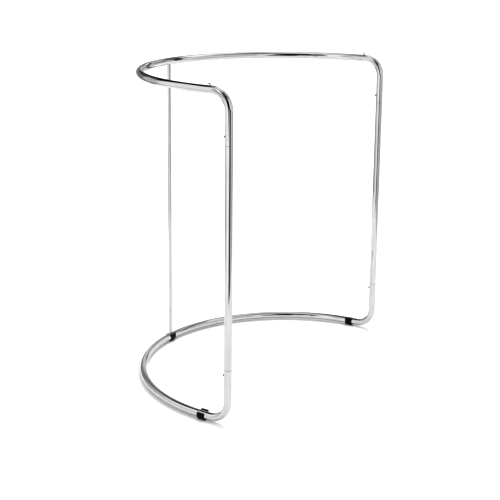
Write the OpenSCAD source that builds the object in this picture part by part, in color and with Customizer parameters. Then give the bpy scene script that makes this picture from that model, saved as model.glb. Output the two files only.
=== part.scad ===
// Half-round valet stand: two D-shaped tubular hoops, one on the floor and one at hanging height,
// joined by two front uprights with snap-button joints and by one thin rod at the back.
// Millimetres. +Z is up, the open front faces +X, and the origin is on the floor below the middle
// of the stand's outer box.

/* [Hoops] */
// Radius of the half circle, to the tube's centre line
hoop_r = 525; // [350:5:650]
// Radius of the bend from hoop to upright, to the tube's centre line
bend_r = 62.5; // [50:2.5:90]
// Height between the two hoops' centre lines
hoop_gap = 1040; // [700:10:1300]

/* [Tube] */
// Outside diameter of the hoop and upright tube
tube_d = 25; // [22:0.5:30]
// Wall of the hoop and upright tube
tube_wall = 1.2; // [1:0.1:1.5]
// Visible gap where an upright meets a hoop's leg
seam_gap = 0.8; // [0.2:0.1:2]
// Break on the outer edge of each tube end
end_chamfer = 0.4; // [0.2:0.1:0.6]

/* [Joints] */
// Height of the lower seam above the base hoop's centre line
lower_seam = 170; // [140:2:220]
// Depth of the upper seam below the top hoop's centre line
upper_seam = 162; // [150:2:240]
// Distance from the lower seam down to its snap button
lower_button_drop = 19; // [14:1:25]
// Distance from the upper seam up to its snap button
upper_button_rise = 26; // [14:1:30]
// Length of joint sleeve on each side of a seam
sleeve_half = 45; // [42:1:60]
// Wall of the joint sleeve
sleeve_wall = 1.2; // [1:0.1:1.5]

/* [Snap buttons] */
// Diameter of a snap button
button_d = 8; // [7:0.5:9]
// How far a snap button stands out of the tube
button_out = 5.5; // [4:0.5:6]
// How far a snap button can be pressed in
button_travel = 6.5; // [4:0.5:7]
// Width of the leaf spring behind a button
spring_w = 8; // [6:0.5:8.5]
// Thickness of the leaf spring
spring_t = 0.7; // [0.5:0.1:0.9]

/* [Rear rod] */
// Outside diameter of the rear rod
rod_d = 13; // [10:0.5:14]
// Wall of the rear rod
rod_wall = 1; // [0.8:0.1:1.5]
// Diameter of the screw that holds the rod down
screw_d = 6; // [5:0.5:6]

/* [Glides] */
// Length of a glide along the tube
glide_len = 27; // [16:1:30]
// Wall of a glide where it hugs the tube
glide_wall = 2.4; // [2:0.1:3]
// Plastic between the tube and the floor
glide_sole = 4.5; // [4:0.1:6]
// Width of a glide's flat sole
sole_w = 12; // [8:1:14]
// How far the outer wall wraps above the middle of the tube
outer_wrap = 42; // [20:1:45]
// Height of the inner wall's top edge above the tube's centre line
lip_h = 13; // [8:0.5:14]
// Position of the side glides round the hoop, from the back
glide_at = 86.5; // [70:0.5:87]

/* [Rail hooks] */
// Diameter of the wire of a rail hook
hook_wire = 4; // [2:0.5:4]
// How far a hook stands above the rail
hook_h = 7; // [7:0.5:14]
// How far a hook reaches back from its stem's axis
hook_reach = 8; // [7:0.5:14]
// Distance of a hook behind the start of the front bend
hook_back = 5; // [2:1:30]

/* [Hidden] */
$fn = 64;

chrome = [0.82, 0.83, 0.84];
steel = [0.45, 0.46, 0.48];
black_plastic = [0.05, 0.05, 0.05];
eps = 0.01;

tube_r = tube_d / 2;
bore_r = tube_r - tube_wall;

// The hoops' centre is at [cx, 0], so that the outer box is centred on the origin.
glide_out = tube_r + 0.1 + glide_wall;
x_back = -(hoop_r + glide_out);
x_front = bend_r + tube_r;
cx = -(x_back + x_front) / 2;
upright_x = cx + bend_r;

z_base = tube_r + glide_sole;
z_top = z_base + hoop_gap;
z_low = z_base + lower_seam;
z_high = z_top - upper_seam;
z_low_button = z_low - lower_button_drop;
z_high_button = z_high + upper_button_rise;

// Sleeve: a slip fit in the tubes, fixed in the upright's end.
sleeve_r = bore_r - 0.05;
sleeve_bore_r = sleeve_r - sleeve_wall;
button_hole_r = button_d / 2 + 0.3;

// Leaf spring and the button's flange, measured from the upright's axis; the button points to -X.
flange_r = button_d / 2 + 1.2;
flange_t = 1.2;
flange_x = -sqrt(pow(sleeve_bore_r, 2) - pow(flange_r, 2)) + 0.35;
leaf_x = flange_x + flange_t + 0.05;
wall_x = sqrt(pow(sleeve_bore_r, 2) - pow(spring_w / 2, 2)) - 0.05;
nose_r = 4;
spring_len = 38;
tab_half = 7;

rod_r = rod_d / 2;
rod_bore_r = rod_r - rod_wall;
rod_x = cx - hoop_r;
rod_hole_r = rod_r + 0.2;
rod_z0 = z_base - sqrt(pow(bore_r, 2) - pow(rod_r, 2)) + 0.05;
rod_z1 = z_top + sqrt(pow(bore_r, 2) - pow(rod_r, 2)) - 2;
screw_head_d = 10.5;
screw_head_h = 2.8;
screw_len = 15;

nib_r = 2;
nib_hole_r = 2.2;

// ---------- tube stock ----------

module ring(r_out, r_in) {
    difference() {
        circle(r = r_out);
        circle(r = r_in);
    }
}

// Straight tube from z0 to z1 with a small break on the outer edge of the ends named by low and high.
module straight_tube(z0, z1, low = false, high = false) {
    c = end_chamfer;
    rotate_extrude()
        polygon([
            [bore_r, z0],
            [tube_r - (low ? c : 0), z0],
            [tube_r, z0 + (low ? c : 0)],
            [tube_r, z1 - (high ? c : 0)],
            [tube_r - (high ? c : 0), z1],
            [bore_r, z1]
        ]);
}

// Half circle of tube about the origin, open towards +X.
module half_ring() {
    rotate([0, 0, 90])
        rotate_extrude(angle = 180, $fn = 180)
            translate([hoop_r, 0]) ring(tube_r, bore_r, $fn = 64);
}

// Quarter bend from the half ring's end at [0, y, 0] up to [bend_r, y, bend_r].
module quarter_bend(y) {
    translate([0, y, bend_r])
        rotate([90, 0, 0])
            rotate([0, 0, -90])
                rotate_extrude(angle = 90, $fn = 96)
                    translate([bend_r, 0]) ring(tube_r, bore_r, $fn = 64);
}

// One hoop with its two legs, standing up from z = 0, the legs ending at height leg_end.
module hoop_stock(leg_end) {
    half_ring();
    for (s = [-1, 1]) {
        quarter_bend(s * hoop_r);
        translate([bend_r, s * hoop_r, 0]) straight_tube(bend_r, leg_end, high = true);
    }
}

// Drill pointing to -X through the back wall of an upright tube.
module button_drill(s, z) {
    translate([upright_x, s * hoop_r, z])
        rotate([0, -90, 0]) cylinder(h = tube_r + 2, r = button_hole_r, $fn = 48);
}

// ---------- hoops and uprights ----------

module base_hoop() {
    color(chrome)
    difference() {
        translate([cx, 0, z_base]) hoop_stock(lower_seam - seam_gap / 2);
        for (s = [-1, 1]) {
            button_drill(s, z_low_button);
            // nib hole of a side glide, in the underside
            translate([cx, 0, z_base]) rotate([0, 0, 180 + s * glide_at]) translate([hoop_r, 0, -tube_r - 1])
                cylinder(h = tube_wall + 3, r = nib_hole_r, $fn = 32);
        }
        // the rod drops through the upper wall, and its screw comes up through the lower wall
        translate([rod_x, 0, z_base]) cylinder(h = tube_r + 2, r = rod_hole_r, $fn = 48);
        translate([rod_x, 0, z_base - tube_r - 1]) cylinder(h = tube_r, r = screw_d / 2 + 0.25, $fn = 32);
    }
}

module top_hoop() {
    color(chrome)
    difference() {
        translate([cx, 0, z_top]) mirror([0, 0, 1]) hoop_stock(upper_seam - seam_gap / 2);
        for (s = [-1, 1]) {
            button_drill(s, z_high_button);
            // hole for the stem of a rail hook, in the upper wall
            translate([cx - hook_back, s * hoop_r, z_top]) cylinder(h = tube_r + 2, r = hook_wire / 2 + 0.1, $fn = 32);
        }
        // the rod comes up through the lower wall
        translate([rod_x, 0, z_top - tube_r - 2]) cylinder(h = tube_r + 2, r = rod_hole_r, $fn = 48);
    }
}

module upright(s) {
    color(chrome)
        translate([upright_x, s * hoop_r, 0])
            straight_tube(z_low + seam_gap / 2, z_high - seam_gap / 2, low = true, high = true);
}

module left_upright() upright(-1);
module right_upright() upright(1);

// ---------- joint sleeves, snap buttons and their leaf springs ----------

// Sleeve across the seam at height z, with one hole for the button at height zb.
module sleeve(s, z, zb) {
    color(steel)
    difference() {
        translate([upright_x, s * hoop_r, z])
            rotate_extrude()
                polygon([
                    [sleeve_bore_r, -sleeve_half],
                    [sleeve_r - 0.5, -sleeve_half],
                    [sleeve_r, -sleeve_half + 1],
                    [sleeve_r, sleeve_half - 1],
                    [sleeve_r - 0.5, sleeve_half],
                    [sleeve_bore_r, sleeve_half]
                ]);
        button_drill(s, zb);
    }
}

module lower_left_sleeve() sleeve(-1, z_low, z_low_button);
module lower_right_sleeve() sleeve(1, z_low, z_low_button);
module upper_left_sleeve() sleeve(-1, z_high, z_high_button);
module upper_right_sleeve() sleeve(1, z_high, z_high_button);

// Button turned from bar: a flange inside the sleeve, a straight shank and a round nose.
module snap_button(s, z) {
    r = button_d / 2;
    tip = tube_r + button_out;
    color(steel)
    translate([upright_x, s * hoop_r, z])
        rotate([0, -90, 0]) {
            translate([0, 0, -flange_x - flange_t]) cylinder(h = flange_t, r = flange_r, $fn = 48);
            translate([0, 0, -flange_x - eps]) cylinder(h = tip - r + flange_x + eps, r = r, $fn = 48);
            rotate_extrude($fn = 48)
                intersection() {
                    translate([0, tip - r]) circle(r = r, $fn = 48);
                    translate([0, tip - r - eps]) square([r + 1, r + 1]);
                }
        }
}

module lower_left_button() snap_button(-1, z_low_button);
module lower_right_button() snap_button(1, z_low_button);
module upper_left_button() snap_button(-1, z_high_button);
module upper_right_button() snap_button(1, z_high_button);

// V-shaped leaf spring. up = 1 puts its nose above the button, up = -1 below.
// One leg lies on the sleeve's front wall, the other carries the button on a flat tab.
module leaf_spring(s, z, up) {
    nx = wall_x - nose_r;
    // slant of the free leg, from the nose's side to the tab
    run = spring_len - tab_half;
    a = atan((nx - nose_r - leaf_x) / run);
    color([0.3, 0.32, 0.38])
    translate([upright_x, s * hoop_r, z])
        mirror([0, 0, up < 0 ? 1 : 0]) {
            // leg on the wall
            translate([wall_x - spring_t, -spring_w / 2, -tab_half])
                cube([spring_t, spring_w, spring_len + tab_half]);
            // nose
            translate([nx, spring_w / 2, spring_len])
                rotate([90, 0, 0])
                    rotate_extrude(angle = 180, $fn = 64)
                        translate([nose_r - spring_t, 0]) square([spring_t, spring_w]);
            // free leg and tab, drawn in the X-Z plane
            translate([0, spring_w / 2, 0])
                rotate([90, 0, 0])
                    linear_extrude(height = spring_w)
                        polygon([
                            [nx - nose_r, spring_len],
                            [leaf_x, tab_half],
                            [leaf_x, -tab_half],
                            [leaf_x + spring_t, -tab_half],
                            [leaf_x + spring_t, tab_half - spring_t * tan(a / 2)],
                            [nx - nose_r + spring_t, spring_len]
                        ]);
        }
}

module lower_left_spring() leaf_spring(-1, z_low_button, 1);
module lower_right_spring() leaf_spring(1, z_low_button, 1);
module upper_left_spring() leaf_spring(-1, z_high_button, -1);
module upper_right_spring() leaf_spring(1, z_high_button, -1);

// ---------- rear rod and its fittings ----------

module rear_rod() {
    color(chrome)
    translate([rod_x, 0, rod_z0])
        difference() {
            cylinder(h = rod_z1 - rod_z0, r = rod_r);
            translate([0, 0, -1]) cylinder(h = rod_z1 - rod_z0 + 2, r = rod_bore_r);
        }
}

// Plastic plug that closes the rod's upper end inside the top hoop.
module rod_top_plug() {
    color(black_plastic)
    translate([rod_x, 0, rod_z1 + 0.05])
        rotate_extrude()
            polygon([
                [0, -10], [rod_bore_r - 0.8, -10], [rod_bore_r - 0.05, -8.5], [rod_bore_r - 0.05, 0],
                [rod_r, 0], [rod_r, 1], [rod_r - 1, 2], [0, 2]
            ]);
}

// Threaded insert pressed into the rod's foot.
module rod_threaded_insert() {
    color([0.72, 0.6, 0.3])
    translate([rod_x, 0, rod_z0])
        difference() {
            cylinder(h = 14, r = rod_bore_r - 0.05);
            translate([0, 0, -1]) cylinder(h = 16, r = screw_d / 2 + 0.05, $fn = 32);
        }
}

// Low-head screw, up through the base hoop into the insert; its head sits in the rear glide.
module rod_screw() {
    color(steel)
    translate([rod_x, 0, z_base - tube_r - screw_head_h])
        difference() {
            union() {
                cylinder(h = screw_head_h - 0.1, r = screw_head_d / 2, $fn = 48);
                translate([0, 0, screw_head_h - 0.1 - eps]) cylinder(h = screw_len, r = screw_d / 2, $fn = 32);
            }
            // hexagon socket
            translate([0, 0, -1]) cylinder(h = 2.2, r = 2.3, $fn = 6);
        }
}

// ---------- rail hooks ----------

// Bent-wire stop on top of the rail: up, round a quarter turn, and back.
module rail_hook(s) {
    w = hook_wire / 2;
    b = hook_wire;
    rise = hook_h - w - b;
    color(steel)
    translate([cx - hook_back, s * hoop_r, z_top + tube_r]) {
        translate([0, 0, -4]) cylinder(h = 4 + rise, r = w, $fn = 32);
        translate([-b, 0, rise])
            rotate([90, 0, 0])
                rotate_extrude(angle = 90, $fn = 64) translate([b, 0]) circle(r = w, $fn = 32);
        translate([-b, 0, rise + b]) rotate([0, -90, 0]) cylinder(h = hook_reach - b - w, r = w, $fn = 32);
        translate([-hook_reach + w, 0, rise + b]) sphere(r = w, $fn = 32);
    }
}

module left_hook() rail_hook(-1);
module right_hook() rail_hook(1);

// ---------- glides ----------

// Section of a glide round the tube at [hoop_r, 0], the hoop's centre being at the origin.
module glide_section() {
    ri = tube_r + 0.1;
    ro = ri + glide_wall;
    sole_z = -tube_r - glide_sole;
    // where the line from the sole's corner runs into the shell
    side = atan2(sole_z, sole_w / 2) + acos((ro - 0.1) / norm([sole_w / 2, sole_z]));
    translate([hoop_r, 0])
        difference() {
            union() {
                // shell under the tube and up its outer side
                difference() {
                    circle(r = ro);
                    // open above, from the outer wall's edge across to the inner wall
                    polygon([
                        [0, 0],
                        [3 * ro * cos(outer_wrap), 3 * ro * sin(outer_wrap)],
                        [3 * ro, 6 * ro], [-3 * ro, 6 * ro], [-3 * ro, 0]
                    ]);
                }
                // upright inner wall
                translate([-ro, -1]) square([glide_wall - 0.2, lip_h + 1]);
                // sole
                polygon([
                    [-sole_w / 2, sole_z],
                    [sole_w / 2, sole_z],
                    [(ro - 0.1) * cos(side), (ro - 0.1) * sin(side)],
                    [-(ro - 0.1) * cos(side), (ro - 0.1) * sin(side)]
                ]);
            }
            circle(r = ri);
        }
}

module glide(angle) {
    half = glide_len / 2 / hoop_r * 180 / PI;
    translate([cx, 0, z_base])
        rotate([0, 0, 180 + angle - half])
            rotate_extrude(angle = 2 * half, $fn = 720) glide_section();
}

module side_glide(s) {
    color(black_plastic)
    union() {
        glide(s * glide_at);
        // nib that clips into the tube
        translate([cx, 0, z_base]) rotate([0, 0, 180 + s * glide_at]) translate([hoop_r, 0, -tube_r - 1])
            cylinder(h = 3.2, r = nib_r, $fn = 32);
    }
}

module left_glide() side_glide(1);
module right_glide() side_glide(-1);

// The rear glide has a pocket for the head of the rod's screw.
module rear_glide() {
    color(black_plastic)
    difference() {
        glide(0);
        translate([rod_x, 0, z_base - tube_r - screw_head_h - 0.2]) cylinder(h = 6, r = screw_head_d / 2 + 0.3, $fn = 48);
    }
}

base_hoop();
top_hoop();
left_upright();
right_upright();
rear_rod();
rod_top_plug();
rod_threaded_insert();
rod_screw();
lower_left_sleeve();
lower_right_sleeve();
upper_left_sleeve();
upper_right_sleeve();
lower_left_button();
lower_right_button();
upper_left_button();
upper_right_button();
lower_left_spring();
lower_right_spring();
upper_left_spring();
upper_right_spring();
left_hook();
right_hook();
left_glide();
right_glide();
rear_glide();
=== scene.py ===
"""Half-round valet stand: looks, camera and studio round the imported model. Metres, in the model's own frame."""

import math

import bpy
import numpy as np
from mathutils import Matrix, Vector


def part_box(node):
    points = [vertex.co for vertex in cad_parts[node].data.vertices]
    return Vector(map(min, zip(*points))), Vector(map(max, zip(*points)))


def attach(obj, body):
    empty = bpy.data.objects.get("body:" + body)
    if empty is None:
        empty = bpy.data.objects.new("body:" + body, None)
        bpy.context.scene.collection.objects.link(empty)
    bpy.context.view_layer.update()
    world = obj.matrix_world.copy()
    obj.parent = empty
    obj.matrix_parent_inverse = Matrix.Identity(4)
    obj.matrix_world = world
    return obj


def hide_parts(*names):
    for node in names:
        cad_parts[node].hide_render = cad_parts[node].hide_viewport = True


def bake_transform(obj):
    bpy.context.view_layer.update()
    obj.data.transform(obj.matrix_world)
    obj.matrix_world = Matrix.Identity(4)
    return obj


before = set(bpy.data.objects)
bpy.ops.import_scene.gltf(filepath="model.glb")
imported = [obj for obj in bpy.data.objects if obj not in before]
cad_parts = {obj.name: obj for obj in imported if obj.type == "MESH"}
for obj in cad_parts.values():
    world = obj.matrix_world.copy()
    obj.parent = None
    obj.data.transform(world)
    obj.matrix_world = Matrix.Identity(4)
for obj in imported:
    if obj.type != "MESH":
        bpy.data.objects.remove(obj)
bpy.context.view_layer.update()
scene = bpy.context.scene

# ---------------------------------------------------------------------------
# Sizes, as the model has them, and a check against its boxes
# ---------------------------------------------------------------------------

HOOP_R, BEND_R = 0.525, 0.0625
TUBE_R, BORE_R = 0.0125, 0.0113
SEAM = 0.0008
BREAK = 0.0004
CX, UPRIGHT_X = 0.2325, 0.295
Z_BASE, Z_TOP = 0.017, 1.057
Z_LOW, Z_HIGH = 0.187, 0.895
Z_LOW_BUTTON, Z_HIGH_BUTTON = 0.168, 0.921
BUTTON_R, BUTTON_OUT, BUTTON_HOLE_R = 0.004, 0.0055, 0.0043
ROD_X, ROD_R, ROD_BORE_R = -0.2925, 0.0065, 0.0055
HOOK_X, HOOK_WIRE_R = 0.2275, 0.002
GLIDE_AT, GLIDE_LEN = 86.5, 0.027
SLEEVE_BORE_R = 0.01005


def agrees(what, value, wanted, slack=0.0006):
    if abs(value - wanted) > slack:
        raise RuntimeError(f"{what} is {value:.5f} in the packed model and {wanted:.5f} here")


_lo, _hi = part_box("left_upright")
agrees("upright x", (_lo.x + _hi.x) / 2, UPRIGHT_X)
agrees("upright y", (_lo.y + _hi.y) / 2, -HOOP_R)
agrees("lower seam", _lo.z, Z_LOW + SEAM / 2)
agrees("upper seam", _hi.z, Z_HIGH - SEAM / 2)
agrees("tube", (_hi.x - _lo.x) / 2, TUBE_R)
_lo, _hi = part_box("base_hoop")
agrees("base hoop underside", _lo.z, Z_BASE - TUBE_R)
agrees("base hoop leg", _hi.z, Z_LOW - SEAM / 2)
_lo, _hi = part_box("top_hoop")
agrees("top hoop upper side", _hi.z, Z_TOP + TUBE_R)
agrees("top hoop leg", _lo.z, Z_HIGH + SEAM / 2)
ROD_Z0, ROD_Z1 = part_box("rear_rod")[0].z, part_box("rear_rod")[1].z
agrees("rod x", (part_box("rear_rod")[0].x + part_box("rear_rod")[1].x) / 2, ROD_X)


# ---------------------------------------------------------------------------
# Mesh helpers
# ---------------------------------------------------------------------------

def add_object(name, verts, faces, collection=None):
    mesh = bpy.data.meshes.new(name)
    mesh.from_pydata([tuple(v) for v in np.asarray(verts, float)], [], [tuple(int(i) for i in f) for f in faces])
    mesh.validate()
    mesh.update()
    ob = bpy.data.objects.new(name, mesh)
    scene.collection.objects.link(ob)
    return ob


def rings_mesh(rings, closed_run=False, cap_start=False, cap_end=False):
    """Verts and outward quads of a run of rings, each an (m, 3) array, with m points in order round."""
    n, m = len(rings), len(rings[0])
    verts = np.concatenate(rings)
    faces = []
    for i in range(n if closed_run else n - 1):
        a, b = i * m, ((i + 1) % n) * m
        for k in range(m):
            k2 = (k + 1) % m
            faces.append((a + k, a + k2, b + k2, b + k))
    if cap_start:
        faces.append(tuple(range(m - 1, -1, -1)))
    if cap_end:
        faces.append(tuple((n - 1) * m + k for k in range(m)))
    return verts, faces


def set_normals(mesh, corner_normals):
    mesh.polygons.foreach_set("use_smooth", [True] * len(mesh.polygons))
    mesh.normals_split_custom_set([tuple(v) for v in corner_normals])


def store_vector(mesh, name, values):
    att = mesh.attributes.new(name, "FLOAT_VECTOR", "POINT")
    att.data.foreach_set("vector", np.asarray(values, np.float32).ravel())


def mesh_arrays(mesh):
    co = np.empty(len(mesh.vertices) * 3, np.float32)
    mesh.vertices.foreach_get("co", co)
    lv = np.empty(len(mesh.loops), np.int32)
    mesh.loops.foreach_get("vertex_index", lv)
    starts = np.empty(len(mesh.polygons), np.int32)
    mesh.polygons.foreach_get("loop_start", starts)
    totals = np.empty(len(mesh.polygons), np.int32)
    mesh.polygons.foreach_get("loop_total", totals)
    pn = np.empty(len(mesh.polygons) * 3, np.float32)
    mesh.polygons.foreach_get("normal", pn)
    loop_poly = np.repeat(np.arange(len(totals)), totals)
    return co.reshape(-1, 3).astype(float), lv, loop_poly, pn.reshape(-1, 3).astype(float)


def cut(ob, cutters):
    """Takes the cutters' volume from ob, and removes them."""
    bm_parts_v, bm_parts_f, base = [], [], 0
    for verts, faces in cutters:
        bm_parts_v.append(np.asarray(verts, float))
        bm_parts_f += [tuple(i + base for i in f) for f in faces]
        base += len(verts)
    tool = add_object(ob.name + "_cutter", np.concatenate(bm_parts_v), bm_parts_f)
    mod = ob.modifiers.new("holes", "BOOLEAN")
    mod.operation = "DIFFERENCE"
    mod.solver = "EXACT"
    mod.object = tool
    bpy.context.view_layer.update()
    dg = bpy.context.evaluated_depsgraph_get()
    done = bpy.data.meshes.new_from_object(ob.evaluated_get(dg), depsgraph=dg)
    ob.modifiers.clear()
    old = ob.data
    ob.data = done
    done.name = ob.name
    bpy.data.meshes.remove(old)
    tool_mesh = tool.data
    bpy.data.objects.remove(tool)
    bpy.data.meshes.remove(tool_mesh)


def cylinder_between(p, q, r, m=48):
    p, q = np.array(p, float), np.array(q, float)
    t = (q - p) / np.linalg.norm(q - p)
    a = np.cross(t, [0, 0, 1.0]) if abs(t[2]) < 0.9 else np.cross(t, [1.0, 0, 0])
    a /= np.linalg.norm(a)
    b = np.cross(t, a)
    ang = np.linspace(0, 2 * math.pi, m, endpoint=False)
    ring = np.outer(np.cos(ang), a) * r + np.outer(np.sin(ang), b) * r
    return rings_mesh([p + ring, q + ring], cap_start=True, cap_end=True)


# ---------------------------------------------------------------------------
# Hoops and uprights: tube swept at full smoothness, with its bore, ends and holes
# ---------------------------------------------------------------------------

AROUND = 96


def hoop_stations(z0, up, leg_end, ring_step, bend_step, leg_step):
    """Centre points, outward-side vectors and tangents along a hoop, from the left leg's end to the right leg's end.
    up is +1 where the legs stand up from the hoop and -1 where they hang down."""
    pts, out, tan = [], [], []
    leg = abs(leg_end - z0) - BEND_R
    n = max(2, round(leg / leg_step))
    for i in range(n):
        s = i / n
        pts.append((UPRIGHT_X, -HOOP_R, leg_end - up * leg * s))
        out.append((0, -1, 0))
        tan.append((0, 0, -up))
    n = max(4, round(90 / bend_step))
    for i in range(n):
        a = math.radians(90 * (1 - i / n))
        pts.append((CX + BEND_R * math.sin(a), -HOOP_R, z0 + up * BEND_R * (1 - math.cos(a))))
        out.append((0, -1, 0))
        tan.append((-math.cos(a), 0, -up * math.sin(a)))
    n = max(8, round(180 / ring_step))
    for i in range(n + 1):
        a = math.radians(-90 + 180 * i / n)
        pts.append((CX - HOOP_R * math.cos(a), HOOP_R * math.sin(a), z0))
        out.append((-math.cos(a), math.sin(a), 0))
        tan.append((math.sin(a), math.cos(a), 0))
    n = max(4, round(90 / bend_step))
    for i in range(1, n + 1):
        a = math.radians(90 * i / n)
        pts.append((CX + BEND_R * math.sin(a), HOOP_R, z0 + up * BEND_R * (1 - math.cos(a))))
        out.append((0, 1, 0))
        tan.append((math.cos(a), 0, up * math.sin(a)))
    n = max(2, round(leg / leg_step))
    for i in range(1, n + 1):
        s = i / n
        pts.append((UPRIGHT_X, HOOP_R, z0 + up * (BEND_R + leg * s)))
        out.append((0, 1, 0))
        tan.append((0, 0, up))
    return np.array(pts, float), np.array(out, float), np.array(tan, float)


def tube_rings(pts, out, tan, r, m=AROUND):
    side = np.cross(tan, out)
    ang = np.linspace(0, 2 * math.pi, m, endpoint=False)
    c, s = np.cos(ang)[:, None], np.sin(ang)[:, None]
    return [p + r * (c * o + s * b) for p, o, b in zip(pts, out, side)]


def swept_tube(name, outer, inner, m=AROUND):
    """A closed tube wall. outer and inner are (points, outward sides, tangents); both ends get a rounded break on the outer edge."""
    rings = []
    op, oo, ot = outer

    def end_rings(p, o, t, sign):
        """From the outer wall towards the end face, for the end where the tangent points out along sign."""
        made = []
        for k in (0.0, 22.5, 45.0, 67.5, 90.0):
            a = math.radians(k)
            back = BREAK * (1 - math.sin(a))
            r = TUBE_R - BREAK * (1 - math.cos(a))
            made += tube_rings([p - sign * t * back], [o], [t], r, m)
        return made

    first = end_rings(op[0], oo[0], ot[0], -1)
    last = end_rings(op[-1], oo[-1], ot[-1], 1)
    rings += first[::-1]
    rings += tube_rings(op[1:-1], oo[1:-1], ot[1:-1], TUBE_R, m)
    rings += last
    ip, io, it = inner
    rings += tube_rings(ip[::-1], io[::-1], it[::-1], BORE_R, m)
    verts, faces = rings_mesh(rings, closed_run=True)
    ob = add_object(name, verts, faces)
    # outward winding
    co, lv, lp, pn = mesh_arrays(ob.data)
    near = np.argmin(np.abs(np.linalg.norm(co - op[len(op) // 2], axis=1) - TUBE_R))
    mid = op[len(op) // 2]
    face = next(p for p in ob.data.polygons if near in p.vertices)
    if Vector(face.normal).dot(face.center - Vector(mid)) < 0:
        ob.data.flip_normals()
    return ob


def hoop_locate(co, z0, up):
    """For points on or in a hoop: run along it from the middle of the ring, the outward side vector, the side vector across, and the centre point."""
    x, y, z = co[:, 0], co[:, 1], co[:, 2]
    sgn = np.where(y < 0, -1.0, 1.0)
    h = up * (z - z0)
    on_ring = x <= CX + 1e-7
    on_leg = (~on_ring) & (h >= BEND_R)
    on_bend = (~on_ring) & (~on_leg)
    a_ring = np.arctan2(y, CX - x)
    rad = np.stack([-np.cos(a_ring), np.sin(a_ring), np.zeros_like(x)], 1)
    tan = np.stack([np.sin(a_ring), np.cos(a_ring), np.zeros_like(x)], 1)
    centre = np.stack([CX - HOOP_R * np.cos(a_ring), HOOP_R * np.sin(a_ring), np.full_like(x, z0)], 1)
    run = HOOP_R * a_ring
    a_bend = np.arctan2(x - CX, BEND_R - h)
    out2 = np.stack([np.zeros_like(x), sgn, np.zeros_like(x)], 1)
    b_tan = np.stack([sgn * np.cos(a_bend), np.zeros_like(x), sgn * up * np.sin(a_bend)], 1)
    b_centre = np.stack([CX + BEND_R * np.sin(a_bend), sgn * HOOP_R, z0 + up * BEND_R * (1 - np.cos(a_bend))], 1)
    b_run = sgn * (HOOP_R * math.pi / 2 + BEND_R * a_bend)
    l_tan = np.stack([np.zeros_like(x), np.zeros_like(x), sgn * up], 1)
    l_centre = np.stack([np.full_like(x, UPRIGHT_X), sgn * HOOP_R, z], 1)
    l_run = sgn * (HOOP_R * math.pi / 2 + BEND_R * math.pi / 2 + h - BEND_R)
    for mask, o, t, c, r in ((on_bend, out2, b_tan, b_centre, b_run), (on_leg, out2, l_tan, l_centre, l_run)):
        rad[mask], tan[mask], centre[mask], run[mask] = o[mask], t[mask], c[mask], r[mask]
    return run, rad, np.cross(tan, rad), centre


def finish_tube(ob, locate, r_out, r_in):
    """Exact smooth normals on the two walls and the stored vector 'tube': run along the tube, and the place round it."""
    mesh = ob.data
    co, lv, lp, pn = mesh_arrays(mesh)
    run, out, side, centre = locate(co)
    d = co - centre
    u, w = (d * out).sum(1), (d * side).sum(1)
    r = np.hypot(u, w)
    rn = (out * (u / np.maximum(r, 1e-9))[:, None] + side * (w / np.maximum(r, 1e-9))[:, None])
    outer, inner = np.abs(r - r_out) < 2e-5, np.abs(r - r_in) < 2e-5
    vert_n = np.where(outer[:, None], rn, np.where(inner[:, None], -rn, 0.0))
    ln = vert_n[lv]
    face_n = pn[lp]
    # a wall corner belongs to a wall face when the face looks the wall's way
    good = ((ln * face_n).sum(1) > 0.9)
    # rounded break: corners between the wall and the end face keep a blend of both
    corner = np.where(good[:, None], ln, face_n)
    set_normals(mesh, corner)
    store_vector(mesh, "tube", np.stack([run, u, w], 1))


def base_locate(co):
    return hoop_locate(co, Z_BASE, 1.0)


def top_locate(co):
    return hoop_locate(co, Z_TOP, -1.0)


def make_hoop(name, z0, up, leg_end, cutters, locate):
    outer = hoop_stations(z0, up, leg_end, 0.75, 2.5, 0.006)
    inner = hoop_stations(z0, up, leg_end, 2.5, 5, 0.012)
    ob = swept_tube(name, outer, inner)
    cut(ob, cutters)
    finish_tube(ob, locate, TUBE_R, BORE_R)
    return ob


def ring_point(angle, z):
    """A point of a hoop's centre line at that angle from the back, towards the left where it is positive."""
    a = math.radians(180 + angle)
    return (CX + HOOP_R * math.cos(a), HOOP_R * math.sin(a), z)


base_cutters = []
for s in (-1, 1):
    base_cutters.append(cylinder_between((UPRIGHT_X, s * HOOP_R, Z_LOW_BUTTON), (UPRIGHT_X - TUBE_R - 0.002, s * HOOP_R, Z_LOW_BUTTON), BUTTON_HOLE_R))
base_cutters.append(cylinder_between((ROD_X, 0, Z_BASE), (ROD_X, 0, Z_BASE + TUBE_R + 0.002), ROD_R + 0.0002))
base_cutters.append(cylinder_between((ROD_X, 0, Z_BASE - TUBE_R - 0.001), (ROD_X, 0, Z_BASE - 0.001), 0.00325, 32))
for s in (-1, 1):
    x, y, _ = ring_point(s * GLIDE_AT, 0)
    base_cutters.append(cylinder_between((x, y, Z_BASE - TUBE_R - 0.001), (x, y, Z_BASE - TUBE_R + 0.0032), 0.0022, 32))
base_hoop = make_hoop("base_hoop_tube", Z_BASE, 1.0, Z_LOW - SEAM / 2, base_cutters, base_locate)

top_cutters = []
for s in (-1, 1):
    top_cutters.append(cylinder_between((UPRIGHT_X, s * HOOP_R, Z_HIGH_BUTTON), (UPRIGHT_X - TUBE_R - 0.002, s * HOOP_R, Z_HIGH_BUTTON), BUTTON_HOLE_R))
    top_cutters.append(cylinder_between((HOOK_X, s * HOOP_R, Z_TOP), (HOOK_X, s * HOOP_R, Z_TOP + TUBE_R + 0.002), HOOK_WIRE_R + 0.0001, 32))
top_cutters.append(cylinder_between((ROD_X, 0, Z_TOP - TUBE_R - 0.002), (ROD_X, 0, Z_TOP), ROD_R + 0.0002))
top_hoop = make_hoop("top_hoop_tube", Z_TOP, -1.0, Z_HIGH + SEAM / 2, top_cutters, top_locate)

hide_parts("base_hoop")
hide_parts("top_hoop")


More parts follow.
